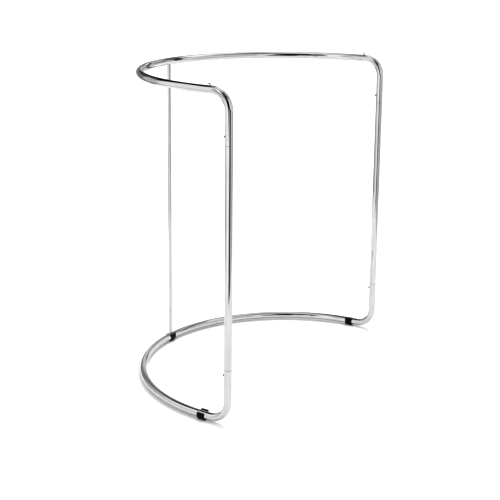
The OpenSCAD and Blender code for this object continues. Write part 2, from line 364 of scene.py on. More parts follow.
def straight_stations(x, y, z0, z1, step):
    n = max(2, round((z1 - z0) / step))
    z = np.linspace(z0, z1, n + 1)
    pts = np.stack([np.full_like(z, x), np.full_like(z, y), z], 1)
    s = 1.0 if y > 0 else -1.0
    return pts, np.tile([0, s, 0.0], (n + 1, 1)), np.tile([0, 0, 1.0], (n + 1, 1))


def make_upright(name, s):
    z0, z1 = Z_LOW + SEAM / 2, Z_HIGH - SEAM / 2
    ob = swept_tube(name, straight_stations(UPRIGHT_X, s * HOOP_R, z0, z1, 0.012), straight_stations(UPRIGHT_X, s * HOOP_R, z0, z1, 0.05))

    def locate(co):
        n = len(co)
        centre = np.stack([np.full(n, UPRIGHT_X), np.full(n, s * HOOP_R), co[:, 2]], 1)
        return co[:, 2] + 2.0, np.tile([0, float(s), 0], (n, 1)), np.tile([float(s), 0, 0], (n, 1)) * -1.0, centre

    finish_tube(ob, locate, TUBE_R, BORE_R)
    return ob


left_upright = make_upright("left_upright_tube", -1)
right_upright = make_upright("right_upright_tube", 1)
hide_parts("left_upright")
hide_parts("right_upright")


def lathe(name, profile, origin, axis, m=64, attribute=True, smooth_deg=35):
    """A solid or a ring turned about axis from (radius, height) pairs. Points on the axis close it."""
    origin, axis = np.array(origin, float), np.array(axis, float)
    axis /= np.linalg.norm(axis)
    a = np.cross(axis, [0, 0, 1.0]) if abs(axis[2]) < 0.9 else np.cross(axis, [0, 1.0, 0])
    a /= np.linalg.norm(a)
    b = np.cross(axis, a)
    ang = np.linspace(0, 2 * math.pi, m, endpoint=False)
    circ = np.outer(np.cos(ang), a) + np.outer(np.sin(ang), b)
    verts, faces, rows = [], [], []
    for r, h in profile:
        if r < 1e-9:
            rows.append([len(verts)])
            verts.append(origin + axis * h)
        else:
            rows.append(list(range(len(verts), len(verts) + m)))
            verts += list(origin + axis * h + r * circ)
    pairs = list(zip(rows, rows[1:]))
    if len(rows[0]) > 1 and len(rows[-1]) > 1:
        pairs.append((rows[-1], rows[0]))
    for p, q in pairs:
        for k in range(m):
            k2 = (k + 1) % m
            if len(p) == 1 and len(q) == 1:
                continue
            if len(p) == 1:
                faces.append((p[0], q[k2], q[k]))
            elif len(q) == 1:
                faces.append((p[k], p[k2], q[0]))
            else:
                faces.append((p[k], p[k2], q[k2], q[k]))
    ob = add_object(name, verts, faces)
    import bmesh
    bm = bmesh.new()
    bm.from_mesh(ob.data)
    bmesh.ops.recalc_face_normals(bm, faces=bm.faces)
    bm.to_mesh(ob.data)
    bm.free()
    ob.data.polygons.foreach_set("use_smooth", [True] * len(ob.data.polygons))
    ob.data.set_sharp_from_angle(angle=math.radians(smooth_deg))
    if attribute:
        co, _, _, _ = mesh_arrays(ob.data)
        d = co - origin
        store_vector(ob.data, "tube", np.stack([d @ axis, d @ a, d @ b], 1))
    return ob


# Rear rod: thin tube with a rounded break at each end, inside the hoops.
rod_profile = []
_c = 0.0003
rod_profile += [(ROD_BORE_R, 0.0), (ROD_R - _c, 0.0), (ROD_R - _c * 0.3, _c * 0.3), (ROD_R, _c)]
_len = ROD_Z1 - ROD_Z0
for k in range(1, 60):
    rod_profile.append((ROD_R, _c + (_len - 2 * _c) * k / 60))
rod_profile += [(ROD_R, _len - _c), (ROD_R - _c * 0.3, _len - _c * 0.3), (ROD_R - _c, _len), (ROD_BORE_R, _len)]
rear_rod = lathe("rear_rod_tube", rod_profile, (ROD_X, 0, ROD_Z0), (0, 0, 1), 64)
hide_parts("rear_rod")


# ---------------------------------------------------------------------------
# Snap buttons: turned from bar, with a rounded shoulder and a crowned nose
# ---------------------------------------------------------------------------

def make_button(name, node, s, z):
    lo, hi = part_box(node)
    tip = UPRIGHT_X - lo.x           # from the upright's axis, along -X
    foot = UPRIGHT_X - hi.x
    agrees(node + " tip", tip, TUBE_R + BUTTON_OUT)
    r, fr, ft = BUTTON_R, BUTTON_R + 0.0012, 0.0012
    prof = [(0, foot), (fr - 0.0002, foot), (fr, foot + 0.0002), (fr, foot + ft - 0.0002), (fr - 0.0002, foot + ft), (r, foot + ft)]
    neck = tip - r
    for k in range(1, 7):
        prof.append((r, foot + ft + (neck - foot - ft) * k / 7))
    for k in range(0, 17):
        a = math.radians(90 * k / 17)
        prof.append((r * math.cos(a), neck + r * math.sin(a)))
    prof.append((0, tip))
    ob = lathe(name, prof, (UPRIGHT_X, s * HOOP_R, z), (-1, 0, 0), 64, smooth_deg=40)
    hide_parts(node)
    return ob


buttons = {}
for level, z in (("lower", Z_LOW_BUTTON), ("upper", Z_HIGH_BUTTON)):
    for side_name, s in (("left", -1), ("right", 1)):
        node = f"{level}_{side_name}_button"
        ob = make_button(node + "_turned", node, s, z)
        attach(ob, f"{level}_{side_name}_snap")
        buttons[node] = ob


# ---------------------------------------------------------------------------
# Leaf springs: a strip on the sleeve's wall that turns over at the nose, and the free leg that runs back down to its
# button
# ---------------------------------------------------------------------------

SPRING_W, SPRING_T, NOSE_R = 0.008, 0.0007, 0.004
SPRING_LEN, TAB_HALF = 0.038, 0.007
WALL_X = math.sqrt(SLEEVE_BORE_R ** 2 - (SPRING_W / 2) ** 2) - 0.00005
LEAF_X = -math.sqrt(SLEEVE_BORE_R ** 2 - (BUTTON_R + 0.0012) ** 2) + 0.00035 + 0.0012 + 0.00005


def strip(name, path, s, z, up):
    """A flat strip with softened edges along path, which is (x, height, angle of the strip's normal) from the button's axis."""
    r, corners = 0.00015, []
    for cu, cv, a0 in ((1, 1, 0), (-1, 1, 90), (-1, -1, 180), (1, -1, 270)):
        for k in range(4):
            a = math.radians(a0 + 30 * k)
            corners.append((cu * (SPRING_T / 2 - r) + r * math.cos(a), cv * (SPRING_W / 2 - r) + r * math.sin(a)))
    sec = np.array(corners)
    rings = []
    for x, h, turn in path:
        n = np.array([math.cos(turn), 0, math.sin(turn) * up])
        c = np.array([UPRIGHT_X + x, s * HOOP_R, z + up * h])
        rings.append(c + np.outer(sec[:, 0], n) + np.outer(sec[:, 1], [0, 1, 0]))
    verts, faces = rings_mesh(rings, cap_start=True, cap_end=True)
    ob = add_object(name, verts, faces)
    import bmesh
    bm = bmesh.new()
    bm.from_mesh(ob.data)
    bmesh.ops.recalc_face_normals(bm, faces=bm.faces)
    bm.to_mesh(ob.data)
    bm.free()
    ob.data.polygons.foreach_set("use_smooth", [True] * len(ob.data.polygons))
    ob.data.set_sharp_from_angle(angle=math.radians(40))
    return ob


def make_spring(level, side_name, s, z, up):
    node = f"{level}_{side_name}_spring"
    lo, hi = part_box(node)
    agrees(node + " wall side", hi.x - UPRIGHT_X, WALL_X)
    agrees(node + " tab side", lo.x - UPRIGHT_X, LEAF_X)
    agrees(node + " height", hi.z - lo.z, SPRING_LEN + NOSE_R + TAB_HALF)
    nx, half = WALL_X - NOSE_R, SPRING_T / 2
    fixed = [(WALL_X - half, -TAB_HALF + (SPRING_LEN + TAB_HALF) * k / 8, 0.0) for k in range(8)]
    for k in range(25):
        a = math.pi * k / 24
        fixed.append((nx + (NOSE_R - half) * math.cos(a), SPRING_LEN + (NOSE_R - half) * math.sin(a), a))
    x0, x1 = nx - NOSE_R + half, LEAF_X + half
    lean = math.atan2(x0 - x1, SPRING_LEN - TAB_HALF)
    free = [(x0, SPRING_LEN, math.pi)]
    for k in range(1, 36):
        free.append((x0 + (x1 - x0) * k / 36, SPRING_LEN + (TAB_HALF - SPRING_LEN) * k / 36, math.pi - lean))
    free.append((x1, TAB_HALF, math.pi - lean / 2))
    free += [(x1, TAB_HALF - 2 * TAB_HALF * k / 8, math.pi) for k in range(1, 9)]
    wall_leg = strip(node + "_wall_leg", fixed, s, z, up)
    free_leg = strip(node + "_free_leg", free, s, z, up)
    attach(wall_leg, "stand")
    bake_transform(free_leg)
    for ob in (wall_leg, free_leg):
        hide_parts(node)
    return [wall_leg, free_leg]


springs = []
for level, z, up in (("lower", Z_LOW_BUTTON, 1), ("upper", Z_HIGH_BUTTON, -1)):
    for side_name, s in (("left", -1), ("right", 1)):
        springs += make_spring(level, side_name, s, z, up)


# ---------------------------------------------------------------------------
# Rail hooks: bent wire with a domed tip
# ---------------------------------------------------------------------------

def make_hook(name, node, s):
    lo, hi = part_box(node)
    w, b = HOOK_WIRE_R, 2 * HOOK_WIRE_R
    z_foot, z_axis = lo.z, hi.z - w
    x_tip = lo.x + w
    y = s * HOOP_R
    agrees(node + " stem", hi.x - w, HOOK_X)
    pts = [(HOOK_X, z_foot)]
    n = 6
    for i in range(1, n):
        pts.append((HOOK_X, z_foot + (z_axis - b - z_foot) * i / n))
    for i in range(0, 15):
        a = math.radians(90 * i / 14)
        pts.append((HOOK_X - b + b * math.cos(a), z_axis - b + b * math.sin(a)))
    for i in range(1, 5):
        pts.append((HOOK_X - b + (x_tip - (HOOK_X - b)) * i / 4, z_axis))
    p = np.array(pts)
    t = np.gradient(p, axis=0)
    t /= np.linalg.norm(t, axis=1)[:, None]
    t[0], t[-1] = (0, 1), (-1, 0)
    run = np.concatenate([[0], np.cumsum(np.linalg.norm(np.diff(p, axis=0), axis=1))])
    m = 40
    ang = np.linspace(0, 2 * math.pi, m, endpoint=False)
    rings, runs, local = [], [], []

    def ring(c, tt, r, rr):
        nrm = np.array([tt[1], -tt[0]])
        q = np.stack([c[0] + r * np.cos(ang) * nrm[0], y + r * np.sin(ang), c[1] + r * np.cos(ang) * nrm[1]], 1)
        rings.append(q)
        runs.append(np.full(m, rr))
        local.append(np.stack([r * np.cos(ang), r * np.sin(ang)], 1))

    ring(p[0], t[0], w - 0.0002, run[0])
    for c, tt, rr in zip(p, t, run):
        if rr == 0:
            c = c + np.array([0, 0.0002])
        ring(c, tt, w, rr)
    for k in range(1, 9):
        a = math.radians(90 * k / 9)
        ring(p[-1] + t[-1] * w * math.sin(a), t[-1], w * math.cos(a), run[-1] + w * a)
    verts, faces = rings_mesh(rings, cap_start=True, cap_end=True)
    ob = add_object(name, verts, faces)
    import bmesh
    bm = bmesh.new()
    bm.from_mesh(ob.data)
    bmesh.ops.recalc_face_normals(bm, faces=bm.faces)
    bm.to_mesh(ob.data)
    bm.free()
    ob.data.polygons.foreach_set("use_smooth", [True] * len(ob.data.polygons))
    ob.data.set_sharp_from_angle(angle=math.radians(40))
    store_vector(ob.data, "tube", np.concatenate([np.stack([r, q[:, 0], q[:, 1]], 1) for r, q in zip(runs, local)]))
    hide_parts(node)
    return ob


left_hook = make_hook("left_hook_wire", "left_hook", -1)
right_hook = make_hook("right_hook_wire", "right_hook", 1)


# ---------------------------------------------------------------------------
# Glides: moulded clips with rounded edges, swept along the hoop
# ---------------------------------------------------------------------------

def glide_outline():
    """Section of a glide round the tube at (0, 0), outwards to +x, in millimetres, counter-clockwise."""
    ri = 12.6
    wall, sole, sole_w, wrap, lip = 2.4, 4.5, 12.0, math.radians(42), 13.0
    ro = ri + wall
    sole_z = -12.5 - sole
    # where the line from the sole's corner runs into the shell
    side = math.atan2(sole_z, sole_w / 2) + math.acos((ro - 0.1) / math.hypot(sole_w / 2, sole_z))
    right = ((ro - 0.05) * math.cos(side), (ro - 0.05) * math.sin(side))
    pts = []
    # inner bore, from the inner wall's top round under the tube to the outer wall's tip (clockwise as seen)
    x_in = -ro + (wall - 0.2)
    top_in = (x_in, lip)
    top_out = (-ro, lip)
    pts.append(("sharp", (x_in, lip), 0.7))
    pts.append(("plain", (x_in, 2.6), 0))
    a0 = math.radians(180 + 2)
    a1 = math.radians(360) + wrap
    n = 56
    for i in range(n + 1):
        a = a0 + (a1 - a0) * i / n
        pts.append(("plain", (ri * math.cos(a), ri * math.sin(a)), 0))
    pts[-1] = ("sharp", pts[-1][1], 0.5)
    pts.append(("sharp", (ro * math.cos(wrap), ro * math.sin(wrap)), 0.9))
    a2 = side + 2 * math.pi if side < 0 else side
    a_hi = math.pi * 2 + wrap
    n = 26
    for i in range(1, n):
        a = a_hi + (a2 - a_hi) * i / n
        pts.append(("plain", (ro * math.cos(a), ro * math.sin(a)), 0))
    pts.append(("sharp", right, 2.0))
    pts.append(("sharp", (sole_w / 2, sole_z), 1.1))
    pts.append(("sharp", (-sole_w / 2, sole_z), 1.1))
    pts.append(("sharp", (-right[0], right[1]), 2.0))
    a3 = math.pi - side + (0 if side > 0 else 0)
    # shell from the sole's left shoulder up to the inner wall's foot
    left_a = math.atan2(right[1], -right[0])
    if left_a > 0:
        left_a -= 2 * math.pi
    n = 16
    for i in range(1, n + 1):
        a = left_a + (-math.pi - left_a) * i / n
        pts.append(("plain", (ro * math.cos(a), ro * math.sin(a)), 0))
    pts.append(("sharp", top_out, 0.7))
    # fillet the sharp ones
    out = []
    k = len(pts)
    for i, (kind, p, rad) in enumerate(pts):
        if kind == "plain":
            out.append(p)
            continue
        p = np.array(p)
        a = np.array(pts[i - 1][1]) - p
        b = np.array(pts[(i + 1) % k][1]) - p
        la, lb = np.linalg.norm(a), np.linalg.norm(b)
        a, b = a / la, b / lb
        half = math.acos(max(-1, min(1, float(a @ b)))) / 2
        cutback = min(rad / math.tan(half), rad * 1.6)
        # walk back along the neighbours where they are close together
        start, end = p + a * min(cutback, la * 0.98), p + b * min(cutback, lb * 0.98)
        for j in range(6):
            t = j / 5
            out.append(tuple((1 - t) ** 2 * start + 2 * t * (1 - t) * p + t * t * end))
    # drop points that crowd
    clean = []
    for p in out:
        if not clean or math.hypot(p[0] - clean[-1][0], p[1] - clean[-1][1]) > 0.04:
            clean.append(p)
    if math.hypot(clean[0][0] - clean[-1][0], clean[0][1] - clean[-1][1]) < 0.04:
        clean.pop()
    return np.array(clean)


def inset(poly, d):
    """The closed outline moved inwards by d, point by point."""
    prev, nxt = np.roll(poly, 1, 0), np.roll(poly, -1, 0)
    area = 0.5 * np.sum(poly[:, 0] * nxt[:, 1] - nxt[:, 0] * poly[:, 1])
    e1, e2 = poly - prev, nxt - poly
    e1 /= np.linalg.norm(e1, axis=1)[:, None]
    e2 /= np.linalg.norm(e2, axis=1)[:, None]
    n1 = np.stack([-e1[:, 1], e1[:, 0]], 1)
    n2 = np.stack([-e2[:, 1], e2[:, 0]], 1)
    n = n1 + n2
    n /= np.linalg.norm(n, axis=1)[:, None]
    return poly + n * d * (1 if area > 0 else -1)


def make_glide(name, node, angle):
    prof = glide_outline()
    nrot = len(prof)
    half = math.degrees(GLIDE_LEN / 2 / HOOP_R)
    edge = 0.7
    rings, runs = [], []

    def ring(poly, along_mm):
        a = math.radians(180 + angle) + along_mm / 1000 / HOOP_R
        rr = HOOP_R + poly[:, 0] / 1000
        rings.append(np.stack([CX + rr * math.cos(a), rr * math.sin(a), Z_BASE + poly[:, 1] / 1000], 1))
        runs.append(np.stack([np.full(nrot, along_mm / 1000), poly[:, 0] / 1000, poly[:, 1] / 1000], 1))

    L = GLIDE_LEN * 500
    for k in range(0, 5):
        a = math.radians(90 * k / 4)
        ring(inset(prof, edge * (1 - math.sin(a))), -L + edge * (1 - math.cos(a)))
    for k in range(1, 14):
        # rings through the middle, all at the full section
        t = k / 14
        ring(prof, -L + edge + (2 * L - 2 * edge) * t)
    for k in range(4, -1, -1):
        a = math.radians(90 * k / 4)
        ring(inset(prof, edge * (1 - math.sin(a))), L - edge * (1 - math.cos(a)))
    verts, faces = rings_mesh(rings, cap_start=True, cap_end=True)
    ob = add_object(name, verts, faces)
    import bmesh
    bm = bmesh.new()
    bm.from_mesh(ob.data)
    ends = [f for f in bm.faces if len(f.verts) > 4]
    bmesh.ops.triangulate(bm, faces=ends, quad_method="BEAUTY", ngon_method="EAR_CLIP")
    bmesh.ops.recalc_face_normals(bm, faces=bm.faces)
    bm.to_mesh(ob.data)
    bm.free()
    ob.data.polygons.foreach_set("use_smooth", [True] * len(ob.data.polygons))
    ob.data.set_sharp_from_angle(angle=math.radians(38))
    store_vector(ob.data, "tube", np.concatenate(runs))
    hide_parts(node)
    return ob


left_glide = make_glide("left_glide_clip", "left_glide", GLIDE_AT)
right_glide = make_glide("right_glide_clip", "right_glide", -GLIDE_AT)
rear_glide = make_glide("rear_glide_clip", "rear_glide", 0.0)

for ob in (base_hoop, top_hoop, left_upright, right_upright, rear_rod, left_hook, right_hook, left_glide, right_glide, rear_glide):
    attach(ob, "stand")

# ---------------------------------------------------------------------------
# Camera
# ---------------------------------------------------------------------------

cam_data = bpy.data.cameras.new("camera")
cam_data.sensor_fit = "HORIZONTAL"
cam_data.sensor_width = 36.0
cam_data.lens = 1126.906 / 500 * 36.0
cam_data.shift_x = (250 - 270) / 500
cam_data.shift_y = (190 - 250) / 500
cam_data.clip_start, cam_data.clip_end = 0.05, 200.0
cam = bpy.data.objects.new("camera", cam_data)
scene.collection.objects.link(cam)
scene.camera = cam
_yaw, _pitch, _roll = 2.0962, -0.22682, 0.01434
fwd = Vector((math.cos(_pitch) * math.cos(_yaw), math.cos(_pitch) * math.sin(_yaw), math.sin(_pitch)))
right = fwd.cross(Vector((0, 0, 1))).normalized()
up = right.cross(fwd)
r2 = math.cos(_roll) * right + math.sin(_roll) * up
u2 = -math.sin(_roll) * right + math.cos(_roll) * up
rot = Matrix((r2, u2, -fwd)).transposed().to_4x4()
cam.matrix_world = Matrix.Translation(Vector((2.04583, -3.30077, 1.51918))) @ rot

# ---------------------------------------------------------------------------
# Materials
# ---------------------------------------------------------------------------


class Nodes:
    """A material's node tree, written top to bottom."""

    def __init__(self, name):
        self.mat = bpy.data.materials.new(name)
        self.mat.use_nodes = True
        self.tree = self.mat.node_tree
        self.tree.nodes.clear()
        self.out = self.tree.nodes.new("ShaderNodeOutputMaterial")
        self.bsdf = self.tree.nodes.new("ShaderNodeBsdfPrincipled")
        self.tree.links.new(self.bsdf.outputs["BSDF"], self.out.inputs["Surface"])

    def new(self, kind, **props):
        n = self.tree.nodes.new(kind)
        for k, v in props.items():
            setattr(n, k, v)
        return n

    def link(self, a, b):
        self.tree.links.new(a, b)

    def put(self, socket, value):
        if isinstance(value, bpy.types.NodeSocket):
            self.link(value, socket)
        else:
            socket.default_value = value

    def attribute(self, name="tube"):
        return self.new("ShaderNodeAttribute", attribute_type="GEOMETRY", attribute_name=name).outputs["Vector"]

    def position(self):
        return self.new("ShaderNodeTexCoord").outputs["Object"]

    def mapped(self, vector, scale=(1, 1, 1), location=(0, 0, 0)):
        n = self.new("ShaderNodeMapping", vector_type="POINT")
        n.inputs["Scale"].default_value = scale
        n.inputs["Location"].default_value = location
        self.link(vector, n.inputs["Vector"])
        return n.outputs["Vector"]

    def noise(self, vector, scale, detail=3.0, roughness=0.55, distortion=0.0):
        n = self.new("ShaderNodeTexNoise")
        n.inputs["Scale"].default_value = scale
        n.inputs["Detail"].default_value = detail
        n.inputs["Roughness"].default_value = roughness
        n.inputs["Distortion"].default_value = distortion
        self.link(vector, n.inputs["Vector"])
        return n.outputs["Fac"]

    def voronoi(self, vector, scale, feature="F1", randomness=1.0):
        n = self.new("ShaderNodeTexVoronoi", feature=feature)
        n.inputs["Scale"].default_value = scale
        n.inputs["Randomness"].default_value = randomness
        self.link(vector, n.inputs["Vector"])
        return n.outputs["Distance"]

    def fit(self, value, a, b, c, d, smooth=False):
        """Maps a..b to c..d, held at the ends."""
        n = self.new("ShaderNodeMapRange")
        n.interpolation_type = "SMOOTHSTEP" if smooth else "LINEAR"
        n.clamp = True
        for key, v in (("From Min", a), ("From Max", b), ("To Min", c), ("To Max", d)):
            n.inputs[key].default_value = v
        self.link(value, n.inputs["Value"])
        return n.outputs["Result"]

    def math(self, op, a, b=0.0):
        n = self.new("ShaderNodeMath", operation=op)
        self.put(n.inputs[0], a)
        self.put(n.inputs[1], b)
        return n.outputs[0]

    def mix(self, fac, a, b):
        """Colour mix: fac is a socket or a number, a and b colours or sockets."""
        n = self.new("ShaderNodeMix", data_type="RGBA", blend_type="MIX")
        self.put(n.inputs[0], fac)
        for sock, v in ((n.inputs[6], a), (n.inputs[7], b)):
            if isinstance(v, bpy.types.NodeSocket):
                self.link(v, sock)
            else:
                sock.default_value = (*v, 1.0)
        return n.outputs[2]

    def xyz(self, vector):
        n = self.new("ShaderNodeSeparateXYZ")
        self.link(vector, n.inputs[0])
        return n.outputs

    def bump(self, height, strength, distance, below=None):
        n = self.new("ShaderNodeBump")
        n.inputs["Strength"].default_value = strength
        n.inputs["Distance"].default_value = distance
        self.link(height, n.inputs["Height"])
        if below is not None:
            self.link(below, n.inputs["Normal"])
        return n.outputs["Normal"]


def chrome(name, dark=(0.510, 0.516, 0.520), light=(0.575, 0.580, 0.580), rough=(0.018, 0.050), ripple=0.00030, top_wear=0.0):
    """Bright chromium plate on drawn steel tube."""
    m = Nodes(name)
    tube, pos = m.attribute(), m.position()
    m.bsdf.inputs["Metallic"].default_value = 1.0
    m.bsdf.inputs["IOR"].default_value = 2.3
    # plate colour: broad patches and a faint cool-to-warm drift along the tube
    patch = m.noise(m.mapped(tube, (9, 60, 60)), 1.0, 4)
    film = m.noise(pos, 46, 5, 0.6)
    tone = m.math("ADD", m.math("MULTIPLY", patch, 0.55), m.math("MULTIPLY", film, 0.45))
    # handling smudges: soft islands
    smudge = m.fit(m.noise(m.mapped(tube, (14, 55, 55), (3.1, 0, 0)), 1.0, 5, 0.62, 0.6), 0.53, 0.72, 0.0, 1.0, True)
    # fine scratches that run along the tube
    lines = m.noise(m.mapped(tube, (40, 9000, 9000)), 1.0, 2, 0.5)
    scratch = m.fit(lines, 0.66, 0.74, 0.0, 1.0)
    base = m.mix(m.fit(tone, 0.38, 0.62, 0.0, 1.0), dark, light)
    base = m.mix(m.math("MULTIPLY", scratch, 0.12), base, (0.40, 0.405, 0.41))
    m.link(base, m.bsdf.inputs["Base Color"])
    r = m.fit(tone, 0.35, 0.65, rough[0], rough[1])
    r = m.math("ADD", r, m.math("MULTIPLY", smudge, 0.04))
    r = m.math("ADD", r, m.math("MULTIPLY", scratch, 0.05))
    if top_wear > 0:
        # hangers slide on the upper side of the rail
        up_side = m.fit(m.xyz(m.new("ShaderNodeNewGeometry").outputs["Normal"])[2], 0.78, 0.97, 0.0, 1.0, True)
        rub = m.fit(m.noise(m.mapped(tube, (900, 50, 50)), 1.0, 3, 0.6), 0.5, 0.7, 0.0, 1.0)
        r = m.math("ADD", r, m.math("MULTIPLY", m.math("MULTIPLY", up_side, rub), top_wear))
    m.link(r, m.bsdf.inputs["Roughness"])
    # slow waviness of the drawn and bent tube, then fine polish lines
    wave = m.noise(m.mapped(tube, (22, 70, 70)), 1.0, 2, 0.45)
    n1 = m.bump(wave, 0.35, ripple)
    n2 = m.bump(lines, 0.05, 0.00002, n1)
    m.link(n2, m.bsdf.inputs["Normal"])
    return m.mat


def plain_steel(name, dark, light, rough, rings=0.0, grain=2600, metallic=1.0, spots=None):
    """Machined or pressed metal."""
    m = Nodes(name)
    tube, pos = m.attribute() if rings else m.position(), m.position()
    m.bsdf.inputs["Metallic"].default_value = metallic
    tone = m.noise(pos, 220, 5, 0.6)
    fine = m.noise(pos, grain, 3, 0.55)
    base = m.mix(m.fit(tone, 0.35, 0.66, 0.0, 1.0), dark, light)
    if spots is not None:
        s = m.fit(m.noise(pos, 700, 4, 0.7), 0.62, 0.74, 0.0, 1.0, True)
        base = m.mix(m.math("MULTIPLY", s, 0.6), base, spots)
    m.link(base, m.bsdf.inputs["Base Color"])
    m.link(m.math("ADD", m.fit(tone, 0.35, 0.66, rough[0], rough[1]), m.math("MULTIPLY", fine, 0.05)), m.bsdf.inputs["Roughness"])
    n = m.bump(fine, 0.12, 0.00003)
    if rings:
        turned = m.noise(m.mapped(tube, (rings, 12, 12)), 1.0, 2, 0.5)
        n = m.bump(turned, 0.25, 0.00004, n)
    m.link(n, m.bsdf.inputs["Normal"])
    return m.mat


def moulded(name, dark, light, scuff, rough=(0.36, 0.55)):
    """Moulded black plastic: fine spark texture, flow marks, scuffs low down and on the edges."""
    m = Nodes(name)
    tube, pos = m.position(), m.position()
    flow = m.noise(m.mapped(tube, (70, 70, 220)), 1.0, 4, 0.6, 0.8)
    grain = m.noise(pos, 2400, 3, 0.6)
    pits = m.voronoi(pos, 1500)
    base = m.mix(m.fit(flow, 0.36, 0.66, 0.0, 1.0), dark, light)
    height = m.xyz(pos)[2]
    low = m.fit(height, 0.0, 0.0045, 1.0, 0.0, True)
    rub = m.fit(m.noise(m.mapped(pos, (900, 900, 160)), 1.0, 4, 0.65), 0.5, 0.68, 0.0, 1.0)
    wear = m.math("MULTIPLY", low, rub)
    edge = m.fit(m.new("ShaderNodeNewGeometry").outputs["Pointiness"], 0.53, 0.62, 0.0, 0.35, True)
    base = m.mix(m.math("MAXIMUM", wear, m.math("MULTIPLY", edge, rub)), base, scuff)
    m.link(base, m.bsdf.inputs["Base Color"])
    m.bsdf.inputs["IOR"].default_value = 1.5
    m.bsdf.inputs["Specular IOR Level"].default_value = 0.06
    r = m.math("ADD", m.fit(flow, 0.36, 0.66, rough[0], rough[1]), m.math("MULTIPLY", wear, 0.22))
    m.link(r, m.bsdf.inputs["Roughness"])
    n = m.bump(grain, 0.35, 0.00006)
    n = m.bump(pits, 0.2, 0.00005, n)
    m.link(n, m.bsdf.inputs["Normal"])
    return m.mat


def paint(ob, mat):
    ob.data.materials.clear()
    ob.data.materials.append(mat)


MAT_HOOP = chrome("chrome_base_hoop")
MAT_RAIL = chrome("chrome_rail", top_wear=0.05)
MAT_UPRIGHT = chrome("chrome_uprights")
MAT_ROD = chrome("chrome_rod", rough=(0.20, 0.28), ripple=0.0002)
MAT_HOOK = chrome("chrome_hooks", dark=(0.20, 0.202, 0.205), light=(0.30, 0.303, 0.305), rough=(0.14, 0.24), ripple=0.0001)
MAT_BUTTON = plain_steel("button_steel_dull", (0.022, 0.022, 0.023), (0.055, 0.055, 0.056), (0.26, 0.40), rings=5200)
MAT_SLEEVE = plain_steel("sleeve_zinc", (0.20, 0.205, 0.21), (0.34, 0.345, 0.35), (0.30, 0.45))
MAT_SPRING = plain_steel("spring_blued", (0.06, 0.065, 0.08), (0.13, 0.135, 0.155), (0.24, 0.38))
MAT_SCREW = plain_steel("screw_black_zinc", (0.16, 0.16, 0.16), (0.30, 0.30, 0.29), (0.28, 0.42))
MAT_BRASS = plain_steel("insert_brass", (0.52, 0.37, 0.14), (0.70, 0.53, 0.24), (0.22, 0.36), spots=(0.30, 0.20, 0.09))
MAT_GLIDE = moulded("glide_black", (0.0022, 0.0022, 0.0024), (0.0050, 0.0050, 0.0053), (0.018, 0.018, 0.017))
MAT_PLUG = moulded("plug_black", (0.010, 0.010, 0.011), (0.018, 0.018, 0.019), (0.05, 0.05, 0.05))

paint(base_hoop, MAT_HOOP)
paint(top_hoop, MAT_RAIL)
paint(left_upright, MAT_UPRIGHT)
paint(right_upright, MAT_UPRIGHT)
paint(rear_rod, MAT_ROD)
for ob in (left_hook, right_hook):
    paint(ob, MAT_HOOK)
for ob in buttons.values():
    paint(ob, MAT_BUTTON)
for ob in springs:
    paint(ob, MAT_SPRING)
for ob in (left_glide, right_glide, rear_glide):
    paint(ob, MAT_GLIDE)
for node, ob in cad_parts.items():
    if node.endswith("_sleeve"):
        paint(ob, MAT_SLEEVE)
    elif node.endswith("_spring"):
        paint(ob, MAT_SPRING)
    elif node == "rod_screw":
        paint(ob, MAT_SCREW)
    elif node == "rod_threaded_insert":
        paint(ob, MAT_BRASS)
    elif node == "rod_top_plug":
        paint(ob, MAT_PLUG)

# ---------------------------------------------------------------------------
# Studio: pale floor, soft light, and the tent of panels that the chrome mirrors
# ---------------------------------------------------------------------------

scene.view_settings.view_transform = "Standard"
scene.view_settings.look = "None"
scene.view_settings.exposure = 0.16
scene.view_settings.gamma = 0.80

WORLD = 1.06
world = bpy.data.worlds.new("studio")
scene.world = world
world.use_nodes = True
wt = world.node_tree
wt.nodes.clear()
w_out = wt.nodes.new("ShaderNodeOutputWorld")
w_seen = wt.nodes.new("ShaderNodeBackground")
w_seen.inputs["Color"].default_value = (1, 1, 1, 1)
w_seen.inputs["Strength"].default_value = 1.3
w_fill = wt.nodes.new("ShaderNodeBackground")
w_fill.inputs["Color"].default_value = (1, 1, 1, 1)
w_fill.inputs["Strength"].default_value = WORLD
w_path = wt.nodes.new("ShaderNodeLightPath")
w_mix = wt.nodes.new("ShaderNodeMixShader")
wt.links.new(w_path.outputs["Is Camera Ray"], w_mix.inputs[0])
wt.links.new(w_fill.outputs[0], w_mix.inputs[1])
wt.links.new(w_seen.outputs[0], w_mix.inputs[2])
wt.links.new(w_mix.outputs[0], w_out.inputs["Surface"])

sun_data = bpy.data.lights.new("key", "SUN")
sun_data.angle = math.radians(24)
sun_data.energy = 1.50
sun = bpy.data.objects.new("key", sun_data)
scene.collection.objects.link(sun)
KEY_AZ, KEY_EL = math.radians(95), math.radians(66)
towards = Vector((math.cos(KEY_AZ) * math.cos(KEY_EL), math.sin(KEY_AZ) * math.cos(KEY_EL), math.sin(KEY_EL)))
sun.rotation_mode = "QUATERNION"
sun.rotation_quaternion = towards.to_track_quat("Z", "Y")
sun.visible_glossy = False

